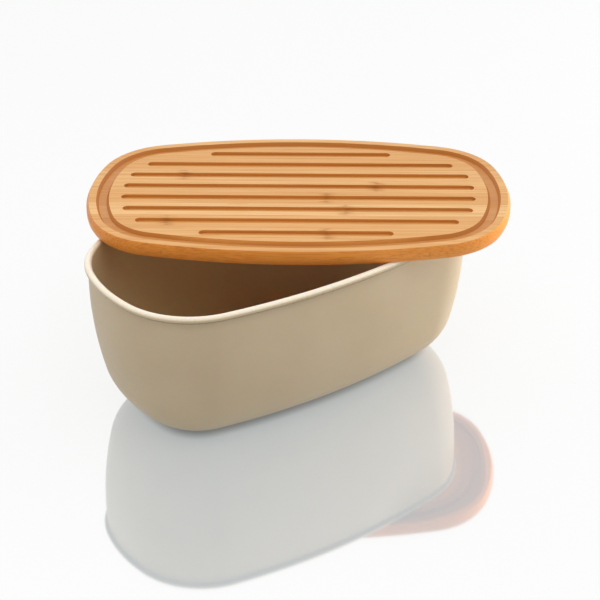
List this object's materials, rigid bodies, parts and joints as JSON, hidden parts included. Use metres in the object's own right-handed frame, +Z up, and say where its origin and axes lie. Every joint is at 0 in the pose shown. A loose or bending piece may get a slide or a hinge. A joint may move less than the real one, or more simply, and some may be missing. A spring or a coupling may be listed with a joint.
{
  "type": "bread box with board lid",
  "caption": "Oval moulded bread box with a beaded rim and a loose bamboo lid, grooved on top so that it also serves as a cutting board, lying askew on the rim.",
  "frame": {"origin": "middle of the tub's flat bottom, on the surface it stands on", "axes": "+X along the tub's length, +Y across it and away from the picture's camera, +Z up"},
  "size_m": [0.3796, 0.3062, 0.1451],
  "materials": {
    "moulded_tub": "smooth satin",
    "bamboo": "oiled, satin"
  },
  "bodies": {
    "tub": {"tub": "moulded_tub"},
    "lid": {"lid_base_strip_01": "bamboo", "lid_base_strip_02": "bamboo", "lid_base_strip_03": "bamboo", "lid_base_strip_04": "bamboo", "lid_base_strip_05": "bamboo", "lid_base_strip_06": "bamboo", "lid_base_strip_07": "bamboo", "lid_base_strip_08": "bamboo", "lid_base_strip_09": "bamboo", "lid_base_strip_10": "bamboo", "lid_core_strip_01": "bamboo", "lid_core_strip_02": "bamboo", "lid_core_strip_03": "bamboo", "lid_core_strip_04": "bamboo", "lid_core_strip_05": "bamboo", "lid_core_strip_06": "bamboo", "lid_core_strip_07": "bamboo", "lid_core_strip_08": "bamboo", "lid_core_strip_09": "bamboo", "lid_core_strip_10": "bamboo", "lid_core_strip_11": "bamboo", "lid_top_strip_01": "bamboo", "lid_top_strip_02": "bamboo", "lid_top_strip_03": "bamboo", "lid_top_strip_04": "bamboo", "lid_top_strip_05": "bamboo", "lid_top_strip_06": "bamboo", "lid_top_strip_07": "bamboo", "lid_top_strip_08": "bamboo", "lid_top_strip_09": "bamboo", "lid_top_strip_10": "bamboo"}
  },
  "joints": [
    {"name": "lid_lift", "type": "slide", "parent": "tub", "child": "lid", "axis": [0, 0, 1], "range_m": [0, 0.2]}
  ]
}
